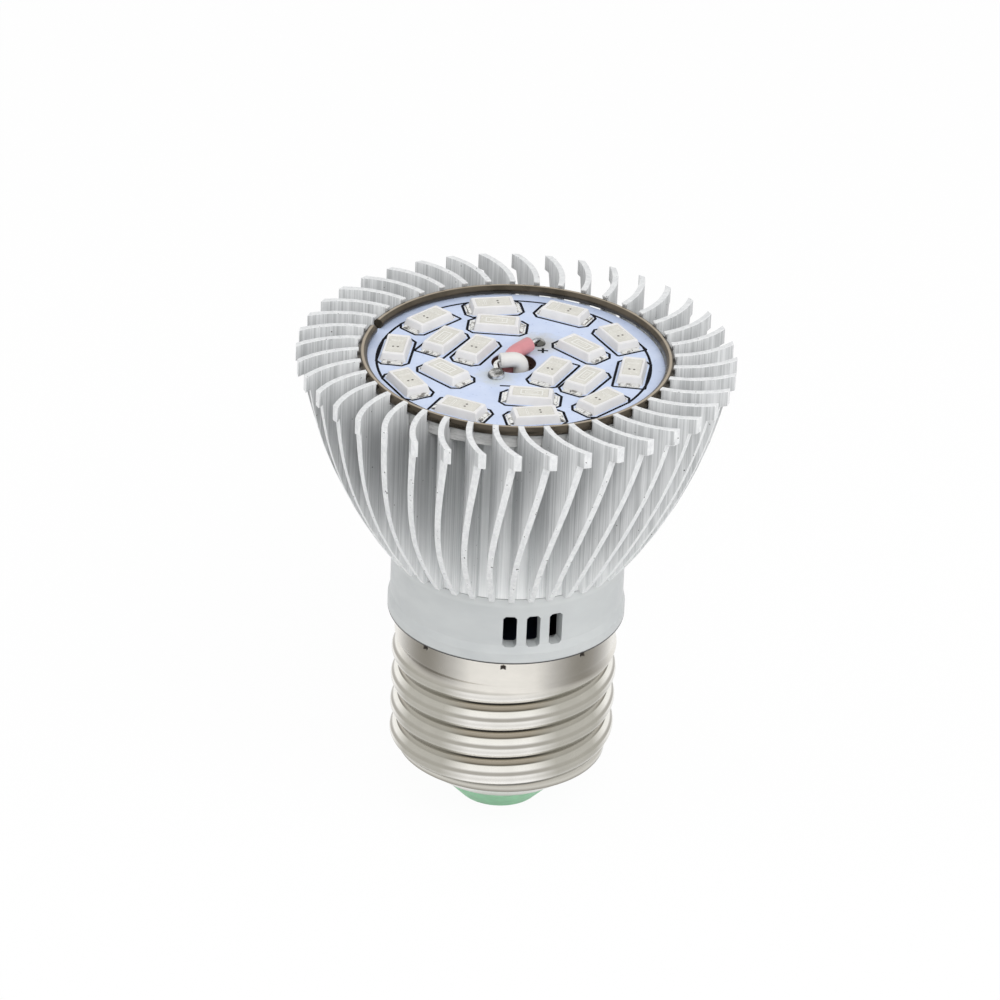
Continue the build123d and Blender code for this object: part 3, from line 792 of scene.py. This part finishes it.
def shell_radius(angle, z):
    """Outer radius of the shell anywhere on it."""
    if z > THREAD_TOP:
        return collar_radius(angle, z)
    if z >= THREAD_BOTTOM:
        return wave_radius(angle, z)
    if z >= CONE_TOP:
        return CONE_RADIUS + (SHOULDER_RADIUS - CONE_RADIUS) * (z - CONE_TOP) / (THREAD_BOTTOM - CONE_TOP)
    return FOOT_RADIUS + (CONE_RADIUS - FOOT_RADIUS) * (z - SHELL_FOOT) / (CONE_TOP - SHELL_FOOT)


def shell():
    """Threaded shell of the cap, with its bore."""
    bm = bmesh.new()
    columns = []
    for i in range(SHELL_SIDES):
        angle = 360 * i / SHELL_SIDES
        a = radians(angle)
        outline = [(shell_radius(angle, z), z) for z in SHELL_HEIGHTS]
        columns.append([bm.verts.new(point(r * cos(a), r * sin(a), z)) for r, z in outline])
    wrap(bm, columns, True)
    lathe(bm, SHELL_INSIDE, SHELL_SIDES)
    bmesh.ops.remove_doubles(bm, verts=bm.verts, dist=1e-6)
    new_piece("cap_shell", bm, [plated_shell()], ["screw_shell"])


# Ring

RING_GAP = 5
RING_GAP_MIDDLE = 158.5
RING_STEPS = 300
RING_SIDES = 24


def ring():
    """Retaining ring of round wire, open over a small gap."""
    bm = bmesh.new()
    start = radians(RING_GAP_MIDDLE + RING_GAP / 2)
    turn = radians(360 - RING_GAP)
    loops = []
    for i in range(RING_STEPS + 1):
        a = start + turn * i / RING_STEPS
        loop = []
        for j in range(RING_SIDES):
            b = 2 * pi * j / RING_SIDES
            r = RING_RADIUS + RING_WIRE * cos(b)
            loop.append(bm.verts.new(point(r * cos(a), r * sin(a), RING_Z + RING_WIRE * sin(b))))
        loops.append(loop)
    skin(bm, loops, smooth=True)
    new_piece("spring_ring", bm, [ring_wire()], ["retaining_ring"])


# Light emitting diodes

BOARD_SHIFT = -0.3
LED_LENGTH = 5.3
LED_WIDTH = 3.0
LED_HEIGHT = 0.95
LED_FOOT = 0.02
LED_SLOPE = 0.249
OUTER_LEDS = 10
OUTER_RADIUS = 13.5
OUTER_ANGLE = 29.4
# Place and turn of one diode of each inner pair, the other lies opposite
INNER_LEDS = [(-2.05, 8.7, -3.5), (-8.1, 4.1, 62.0), (-4.35, 2.3, 64.5), (-7.6, -3.65, -43.5)]
# 1 or -1 gives the end that carries the two dots, and 0 a package with a framed chip
CHIP_ENDS = [-1, -1, -1, 1, 1, 1, 1, 1, -1, -1, 0, 0, 0, 0, -1, 1, 0, 0]
# Loops of a package from its foot to its top edge: height, way inward, corner radius
PACKAGE_LOOPS = (
    (LED_FOOT, 0.0, 0.12),
    (0.30, 0.0, 0.12),
    (0.86, 0.0, 0.16),
    (0.925, 0.02, 0.18),
    (LED_HEIGHT, 0.07, 0.18),
)
# Loops of the well in its top: half length, half width, depth
WELL_LOOPS = ((2.05, 1.05, 0.0), (2.02, 1.02, 0.02), (2.0, 1.0, 0.08))
WELL_CORNER = 0.16
FILLING_BOTTOM = LED_HEIGHT - 0.075
FILLING_TOP = LED_HEIGHT - 0.045
DOT_RADIUS = 0.14
DOT_CORNER = 0.139
DOT_X = 0.55
DOT_Y = 0.27
DOT_FACE, FRAME_FACE = 1, 2
# Frames on the filling: middle, half length, half width, width of the edge
BAR_FRAME = (0.95, 0.14, 0.66, 0.06)
CHIP_FRAMES = [(-0.12, 1.28, 0.62, 0.16), (-0.12, 0.72, 0.26, 0.07)]
# The two leads at each end of a package: middle and half width
LED_LEADS = ((-0.70, 0.42), (0.45, 0.62))
LEAD_EDGE = 0.04
LEAD_REACH = 0.40


def led_places():
    """Matrix of each diode, in the order of the solids."""
    places = []
    for i in range(OUTER_LEDS):
        angle = radians(OUTER_ANGLE + i * 360 / OUTER_LEDS)
        place = point(OUTER_RADIUS * cos(angle) + BOARD_SHIFT, OUTER_RADIUS * sin(angle), BOARD_TOP)
        places.append(Matrix.Translation(place) @ Matrix.Rotation(angle + pi / 2, 4, "Z"))
    for x, y, turn in INNER_LEDS:
        for side, extra in ((1, 0), (-1, 180)):
            place = point(side * x + BOARD_SHIFT, side * y, BOARD_TOP)
            places.append(Matrix.Translation(place) @ Matrix.Rotation(radians(turn + extra), 4, "Z"))
    return places


def packages(places):
    """Moulded bodies with sloped sides, softened edges and a well in the top."""
    bm = bmesh.new()
    for place in places:
        loops = []
        for z, inward, corner in PACKAGE_LOOPS:
            slope = (z - LED_FOOT) * LED_SLOPE + inward
            loops.append(rounded_loop(bm, place, LED_LENGTH / 2 - slope, LED_WIDTH / 2 - slope, corner, z))
        for half_x, half_y, depth in WELL_LOOPS:
            loops.append(rounded_loop(bm, place, half_x, half_y, WELL_CORNER, LED_HEIGHT - depth))
        skin(bm, loops)
    names = [f"led_{i + 1:02d}" for i in range(len(places))]
    new_piece("led_packages", bm, [package_plastic()], names)


def windows(places):
    """Cream filling of each well, with its framed chip or its two dots and bar."""
    bm = bmesh.new()
    for place, end in zip(places, CHIP_ENDS):
        skin(bm, [rounded_loop(bm, place, 1.99, 0.99, WELL_CORNER, z) for z in (FILLING_BOTTOM, FILLING_TOP)])
        frames = CHIP_FRAMES
        if end:
            for y in (-DOT_Y, DOT_Y):
                x = end * DOT_X
                loops = []
                for z in (FILLING_TOP - 0.01, FILLING_TOP + 0.004):
                    loops.append(rounded_loop(bm, place, DOT_RADIUS, DOT_RADIUS, DOT_CORNER, z, x, y))
                skin(bm, loops, DOT_FACE)
            frames = [(-end * BAR_FRAME[0], *BAR_FRAME[1:])]
        for x, half_x, half_y, width in frames:
            loops = []
            for inward, corner, rise in ((0.0, 0.06, 0.002), (width / 3, 0.05, 0.018), (width, 0.02, 0.002)):
                z = FILLING_TOP + rise
                loops.append(rounded_loop(bm, place, half_x - inward, half_y - inward, corner, z, x))
            skin(bm, loops + loops[:1], FRAME_FACE, ends=False)
    dot = plain("bond_dot", (0.05, 0.04, 0.03), 0.5)
    chip_frame = plain("chip_frame", (0.74, 0.735, 0.70), 0.35, 0, 0.03)
    new_piece("window_fillings", bm, [window_resin(), dot, chip_frame], ["led_windows"])


def terminals(places):
    """Tinned leads at both ends of each package, on flat pads."""
    bm = bmesh.new()
    for number, place in enumerate(places):
        for side in (-1, 1):
            x = side * LED_LENGTH / 2
            for y, half in LED_LEADS:
                wob = 0.04 * noise.noise(Vector((number * 3.1, side * 2.0, y * 4)))
                reach = LEAD_REACH + wob
                strips = []
                for out, z in ((0.0, 0.20), (0.08, 0.19), (0.20, 0.15), (reach - 0.06, 0.13), (reach, 0.04)):
                    spots = (
                        (y - half, LED_FOOT),
                        (y - half + LEAD_EDGE, z),
                        (y + half - LEAD_EDGE, z),
                        (y + half, LED_FOOT),
                    )
                    strips.append([bm.verts.new(place @ point(x + side * out, a, b)) for a, b in spots])
                skin(bm, strips)
            pad = [(0.38, 1.24, 0.001), (0.36, 1.22, 0.012)]
            skin(bm, [rounded_loop(bm, place, *half, 0.1, z, x + side * 0.2) for *half, z in pad])
    new_piece("led_pads", bm, [tinned_metal()], ["led_terminals"])


# Printed lines

LINE_WIDTH = 0.30
LINE_THICKNESS = 0.006
PRINT_LEVEL = BOARD_TOP + 0.001
# Lines that cross others lie a little higher
CROSSING_LEVEL = PRINT_LEVEL + 0.002
OUTLINE_X = LED_LENGTH / 2 + 0.76
OUTLINE_Y = LED_WIDTH / 2 + 0.36
WIDE_CUT = 0.72
SMALL_CUT = 0.12
ARC_RADIUS = 15.55
ARC_STEPS = 14
# Arcs that begin nearer to their diode, and arcs that run past the next one
EARLY_ARCS = (4, 9)
LONG_ARCS = (3, 8)
PLUS = (2.95, 3.3)
MINUS = (-1.15, -5.75)
MARK_REACH = 0.6
MARK_WIDTH = 0.28


def strip(bm, points, width, z, closed=False):
    """Thin raised line of even width through points on the board, mitred at its corners."""
    count = len(points)
    top = z + LINE_THICKNESS
    loops = []
    for i, (x, y) in enumerate(points):
        ways = []
        if i or closed:
            before = points[i - 1]
            ways.append(Vector((x - before[0], y - before[1])).normalized())
        if i < count - 1 or closed:
            after = points[(i + 1) % count]
            ways.append(Vector((after[0] - x, after[1] - y)).normalized())
        way = sum(ways, Vector((0, 0))).normalized()
        across = Vector((-way.y, way.x))
        reach = width / 2 / max(0.4, abs(way.dot(ways[0])))
        left = (x + across.x * reach, y + across.y * reach)
        right = (x - across.x * reach, y - across.y * reach)
        spots = ((*left, z), (*right, z), (*right, top), (*left, top))
        loops.append([bm.verts.new(point(*spot)) for spot in spots])
    skin(bm, loops + loops[:1] if closed else loops, ends=not closed)


def board_print(places):
    """Black outlines round the packages, arcs that link the outer ones, and the polarity marks."""
    bm = bmesh.new()
    x, y, cut = OUTLINE_X, OUTLINE_Y, WIDE_CUT
    for number, place in enumerate(places):
        near = cut if number % 3 else SMALL_CUT
        outline = [
            (-x + near, -y), (x - cut, -y), (x, -y + cut), (x, y - cut),
            (x - cut, y), (-x + near, y), (-x, y - near), (-x, -y + near),
        ]
        spots = [place @ point(a, b, 0) / MM for a, b in outline]
        strip(bm, [(s.x, s.y) for s in spots], LINE_WIDTH, PRINT_LEVEL, True)
    for i in range(OUTER_LEDS):
        middle = OUTER_ANGLE + i * 360 / OUTER_LEDS
        start = middle + (4 if i in EARLY_ARCS else 10)
        end = middle + (40 if i in LONG_ARCS else 26)
        angles = [radians(a) for a in [start] + between(start, end, ARC_STEPS)]
        arc = [(ARC_RADIUS * cos(a) + BOARD_SHIFT, ARC_RADIUS * sin(a)) for a in angles]
        strip(bm, arc, LINE_WIDTH, CROSSING_LEVEL)
    for x, y in (PLUS, MINUS):
        strip(bm, [(x - MARK_REACH, y), (x + MARK_REACH, y)], MARK_WIDTH, PRINT_LEVEL)
        if (x, y) == PLUS:
            strip(bm, [(x, y - MARK_REACH), (x, y + MARK_REACH)], MARK_WIDTH, CROSSING_LEVEL)
    new_piece("board_print", bm, [print_ink()])


# Leads

DRIVER_TOP = WEB_BOTTOM - 4.8
SLEEVE_RADIUS = 0.87
SLEEVE_BORE = 0.38
SLEEVE_SIDES = 24
SLEEVE_BEND = 1.3
# Loops of the cut end of a sleeve: way back from its tip, and radius
SLEEVE_RIM = (
    (0.12, SLEEVE_RADIUS), (0.04, SLEEVE_RADIUS - 0.03), (0.0, SLEEVE_RADIUS - 0.12),
    (0.0, 0.5), (0.06, SLEEVE_BORE), (1.2, SLEEVE_BORE),
)
POSITIVE_ROUTE = [
    (-0.75, 0.45, DRIVER_TOP),
    (-0.75, 0.45, BOARD_TOP + 0.75),
    (1.4, 2.85, BOARD_TOP + 1.0),
]
NEGATIVE_ROUTE = [
    (-0.75, -2.2, DRIVER_TOP),
    (-0.75, -2.2, (DRIVER_TOP + WEB_BOTTOM) / 2),
    (0.55, -0.95, BOARD_TOP - 2.9),
    (0.55, -0.95, BOARD_TOP + 1.0),
    (-1.88, -1.55, BOARD_TOP + 1.0),
]
# How far a strand begins inside its sleeve, comes out straight, and ends above the board
STRAND_INSIDE = 1.5
STRAND_OUT = 0.55
STRAND_END = 0.55
STRAND_BEND = 0.9
STRAND_WIRES = 5
STRAND_OFFSET = 0.12
WIRE_RADIUS = 0.14
WIRE_SIDES = 8
TWIST_STEP = 0.25
# Drops of solder: joint, radius, height, and where their unevenness is read
DROPS = ((NEGATIVE_JOINT, 0.93, 0.93, 2.0), (POSITIVE_JOINT, 0.80, 0.55, 7.0))
DROP_ROWS = 14
DROP_SIDES = 36


def rounded_route(points, radius, steps):
    """Points of straight runs joined by curves."""
    points = [Vector(p) for p in points]
    route = [points[0]]
    for before, corner, after in zip(points, points[1:], points[2:]):
        one = (before - corner).normalized()
        two = (after - corner).normalized()
        half = one.angle(two) / 2
        wanted = radius / max(1e-6, sin(half) / cos(half))
        reach = min(wanted, 0.45 * (before - corner).length, 0.45 * (after - corner).length)
        start, end = corner + one * reach, corner + two * reach
        for i in range(steps + 1):
            t = i / steps
            route.append(start * (1 - t) ** 2 + corner * 2 * t * (1 - t) + end * t * t)
    route.append(points[-1])
    return route


def directions(route):
    """Direction of a route at each of its points."""
    last = len(route) - 1
    return [(route[min(i + 1, last)] - route[max(i - 1, 0)]).normalized() for i in range(last + 1)]


def tube(bm, route, ways, radii, sides):
    """Smooth closed tube along a route, with a direction and a radius at each point."""
    loops = []
    across = Vector((1, 0, 0))
    for spot, way, radius in zip(route, ways, radii):
        across = (across - way * across.dot(way)).normalized()
        beside = way.cross(across)
        loop = []
        for k in range(sides):
            a = 2 * pi * k / sides
            loop.append(bm.verts.new((spot + (across * cos(a) + beside * sin(a)) * radius) * MM))
        loops.append(loop)
    skin(bm, loops, smooth=True)


def lead_sleeve(name, route, material, node):
    """Sleeving with a soft cut rim and a bore."""
    bm = bmesh.new()
    path = rounded_route(route, SLEEVE_BEND, 10)
    way = (path[-1] - path[-2]).normalized()
    tip = path.pop()
    radii = [SLEEVE_RADIUS] * len(path) + [radius for _, radius in SLEEVE_RIM]
    path = path + [tip - way * back for back, _ in SLEEVE_RIM]
    ways = directions(path)[:-len(SLEEVE_RIM)] + [way] * len(SLEEVE_RIM)
    tube(bm, path, ways, radii, SLEEVE_SIDES)
    new_piece(name, bm, [material], [node])


def lead_strand(name, route, joint, node):
    """Tinned strand from inside the sleeve, down into its joint."""
    bm = bmesh.new()
    tip, before = Vector(route[-1]), Vector(route[-2])
    way = (tip - before).normalized()
    end = Vector((*joint, BOARD_TOP + STRAND_END))
    path = rounded_route([tip - way * STRAND_INSIDE, tip + way * STRAND_OUT, end], STRAND_BEND, 8)
    for wire in range(STRAND_WIRES):
        twist = []
        for i, spot in enumerate(path):
            turn = 2 * pi * wire / STRAND_WIRES + i * TWIST_STEP
            offset = (cos(turn) * STRAND_OFFSET, sin(turn) * STRAND_OFFSET, cos(turn) * 0.05)
            twist.append(spot + Vector(offset))
        tube(bm, twist, directions(twist), [WIRE_RADIUS] * len(twist), WIRE_SIDES)
    new_piece(name, bm, [tinned_metal()], [node])


def solder():
    """Round drops of solder at the two joints, a little uneven."""
    bm = bmesh.new()
    for (x, y), wide, tall, seed in DROPS:
        loops = []
        for i in range(DROP_ROWS + 1):
            t = i / DROP_ROWS * pi / 2
            loop = []
            for k in range(DROP_SIDES):
                a = 2 * pi * k / DROP_SIDES
                swell = 1 + 0.10 * noise.noise(Vector((cos(a) * 1.2, sin(a) * 1.2, seed + t)))
                lift = 1 + 0.08 * noise.noise(Vector((cos(a) * 2, sin(a) * 2, seed + 5)))
                r = wide * cos(t) ** 0.8 * swell + 0.03
                z = tall * sin(t) ** 0.9 * lift
                loop.append(bm.verts.new(point(x + r * cos(a), y + r * sin(a), BOARD_TOP + z)))
            loops.append(loop)
        skin(bm, loops, smooth=True)
    new_piece("solder_drops", bm, [solder_metal()], ["board_solder"])


# Solids that keep their form: node, material, colour, roughness, metallic
PLAIN_SOLIDS = (
    ("neck_screws", "zinc", (0.6, 0.6, 0.6), 0.35, 1.0),
    ("driver_board", "laminate", (0.12, 0.32, 0.16), 0.45, 0.0),
    ("input_capacitor", "can_sleeve", (0.05, 0.06, 0.10), 0.35, 0.0),
    ("output_capacitor", "small_can_sleeve", (0.06, 0.05, 0.05), 0.35, 0.0),
    ("transformer_core", "ferrite", (0.06, 0.06, 0.06), 0.6, 0.0),
    ("transformer_coil", "coil_tape", (0.80, 0.62, 0.10), 0.4, 0.0),
    ("film_capacitor", "film_resin", (0.55, 0.10, 0.06), 0.35, 0.0),
    ("fuse_resistor", "fuse_lacquer", (0.12, 0.25, 0.45), 0.35, 0.0),
    ("bridge_rectifier", "moulded_black", (0.03, 0.03, 0.03), 0.55, 0.0),
    ("driver_chip", "moulded_black", (0.03, 0.03, 0.03), 0.55, 0.0),
    ("chip_resistors", "moulded_black", (0.03, 0.03, 0.03), 0.55, 0.0),
    ("contact_wire", "wire_insulation", (0.72, 0.72, 0.70), 0.5, 0.0),
    ("shell_wire", "wire_insulation", (0.72, 0.72, 0.70), 0.5, 0.0),
)

make_camera()
heat_sink()
shell()
ring()
dress("neck", neck_plastic())
dress("cap_insulator", plain("green_insulator", (0.20, 0.52, 0.28), 0.4))
dress("centre_contact", plain("contact_metal", (0.62, 0.6, 0.56), 0.3, 1.0))
dress("led_board", board_mask())
dress("thermal_pad", plain("pad", (0.6, 0.61, 0.62), 0.8))
led_matrices = led_places()
packages(led_matrices)
windows(led_matrices)
terminals(led_matrices)
board_print(led_matrices)
pink = plain("pink_sleeving", (0.60, 0.25, 0.27), 0.42, 0, 0.08)
white = plain("white_sleeving", (0.68, 0.67, 0.65), 0.45, 0, 0.05)
lead_sleeve("pink_sleeve", POSITIVE_ROUTE, pink, "positive_sleeve")
lead_sleeve("white_sleeve", NEGATIVE_ROUTE, white, "negative_sleeve")
lead_strand("pink_lead_strand", POSITIVE_ROUTE, POSITIVE_JOINT, "positive_strand")
lead_strand("white_lead_strand", NEGATIVE_ROUTE, NEGATIVE_JOINT, "negative_strand")
solder()
for node, *recipe in PLAIN_SOLIDS:
    dress(node, plain(*recipe))


# Stage

FLOOR_REACH = 6.0
FLOOR_LEVEL = -0.02
FLOOR_TONE = 0.92
# Share of plain white in what is seen of the floor, where the rest keeps the shadow
FLOOR_SHARE = 0.96
WORLD_ON_OBJECT = 0.5
WORLD_SEEN = 1.0
# Lamps: name, place, height of the spot they look at, size, watts
LAMPS = (
    ("left", (-0.52, -0.10, 0.30), 0.04, (0.4, 0.5), 0.9),
    ("right", (0.52, -0.16, 0.30), 0.04, (0.4, 0.5), 0.9),
    ("above", (0.14, -0.44, 0.60), 0.05, (0.5, 0.5), 3.0),
)


def area_light(name, place, aim_height, size, power):
    """Soft lamp that looks at a spot on the axis, and that no metal mirrors."""
    data = bpy.data.lights.new(name, "AREA")
    data.shape = "RECTANGLE"
    data.size, data.size_y = size
    data.energy = power
    lamp = bpy.data.objects.new(name, data)
    lamp.location = place
    lamp.rotation_mode = "QUATERNION"
    direction = Vector((0, 0, aim_height)) - Vector(place)
    lamp.rotation_quaternion = direction.to_track_quat("-Z", "Y")
    lamp.visible_glossy = False
    bpy.context.scene.collection.objects.link(lamp)


def maths_node(tree, operation, first, second):
    """Maths node on an output, and on another output or a number."""
    node = tree.nodes.new("ShaderNodeMath")
    node.operation = operation
    tree.links.new(first, node.inputs[0])
    if isinstance(second, float):
        node.inputs[1].default_value = second
    else:
        tree.links.new(second, node.inputs[1])
    return node.outputs[0]


def seen_rays(tree):
    """1 for the rays that show the background, straight, mirrored or through a piece, and else 0."""
    path = tree.nodes.new("ShaderNodeLightPath").outputs
    indirect = maths_node(tree, "MAXIMUM", path["Is Glossy Ray"], path["Is Transmission Ray"])
    return maths_node(tree, "MAXIMUM", path["Is Camera Ray"], indirect)


def floor():
    """Pale floor that keeps the object's shadow and shows white beyond it."""
    mesh = bpy.data.meshes.new("floor")
    signs = ((-1, -1), (1, -1), (1, 1), (-1, 1))
    corners = [(x * FLOOR_REACH, y * FLOOR_REACH, FLOOR_LEVEL * MM) for x, y in signs]
    mesh.from_pydata(corners, [], [(0, 1, 2, 3)])
    obj = bpy.data.objects.new("floor", mesh)
    bpy.context.scene.collection.objects.link(obj)
    material = bpy.data.materials.new("floor")
    material.use_nodes = True
    tree = material.node_tree
    tree.nodes.clear()
    matt = tree.nodes.new("ShaderNodeBsdfDiffuse")
    matt.inputs["Color"].default_value = (FLOOR_TONE, FLOOR_TONE, FLOOR_TONE, 1)
    glow = tree.nodes.new("ShaderNodeEmission")
    glow.inputs["Color"].default_value = (1, 1, 1, 1)
    mix = tree.nodes.new("ShaderNodeMixShader")
    tree.links.new(maths_node(tree, "MULTIPLY", seen_rays(tree), FLOOR_SHARE), mix.inputs["Fac"])
    tree.links.new(matt.outputs[0], mix.inputs[1])
    tree.links.new(glow.outputs[0], mix.inputs[2])
    out = tree.nodes.new("ShaderNodeOutputMaterial")
    tree.links.new(mix.outputs[0], out.inputs["Surface"])
    mesh.materials.append(material)


def world():
    """White behind the object, and a softer level on it."""
    studio = bpy.data.worlds.new("studio")
    bpy.context.scene.world = studio
    studio.use_nodes = True
    tree = studio.node_tree
    back = tree.nodes["Background"]
    back.inputs["Color"].default_value = (1, 1, 1, 1)
    level = tree.nodes.new("ShaderNodeMapRange")
    level.inputs["To Min"].default_value = WORLD_ON_OBJECT
    level.inputs["To Max"].default_value = WORLD_SEEN
    tree.links.new(seen_rays(tree), level.inputs["Value"])
    tree.links.new(level.outputs["Result"], back.inputs["Strength"])


floor()
world()
for lamp in LAMPS:
    area_light(*lamp)
bpy.context.scene.view_settings.view_transform = "Standard"
